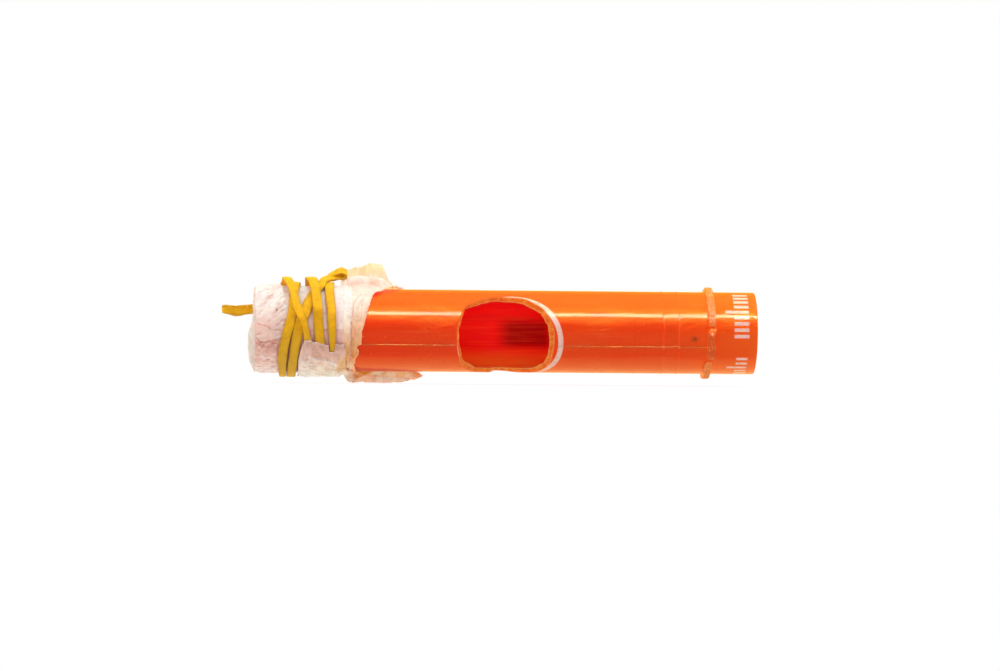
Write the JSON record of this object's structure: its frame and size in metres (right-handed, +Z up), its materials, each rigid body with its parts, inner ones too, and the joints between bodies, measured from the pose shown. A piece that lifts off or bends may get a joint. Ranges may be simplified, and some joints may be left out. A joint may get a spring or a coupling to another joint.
{
  "type": "home-made mirliton",
  "caption": "Plastic tube with a hole cut in its side and a crumpled tissue membrane bound over one end by a wound rubber band; hummed into, it buzzes.",
  "frame": {"origin": "centre of the open end of the tube, on the bore's axis", "axes": "+X along the tube, out of the open end; -Y is the side that the side hole faces; +Z up"},
  "size_m": [0.1602, 0.0306, 0.0356],
  "materials": {
    "tube_plastic": "moulded, worn gloss",
    "tissue": "crumpled, translucent",
    "band_rubber": "aged, matte"
  },
  "bodies": {
    "root": {"tube": "tube_plastic", "membrane": "tissue", "tissue_lap": "tissue", "rubber_band": "band_rubber"}
  },
  "joints": []
}
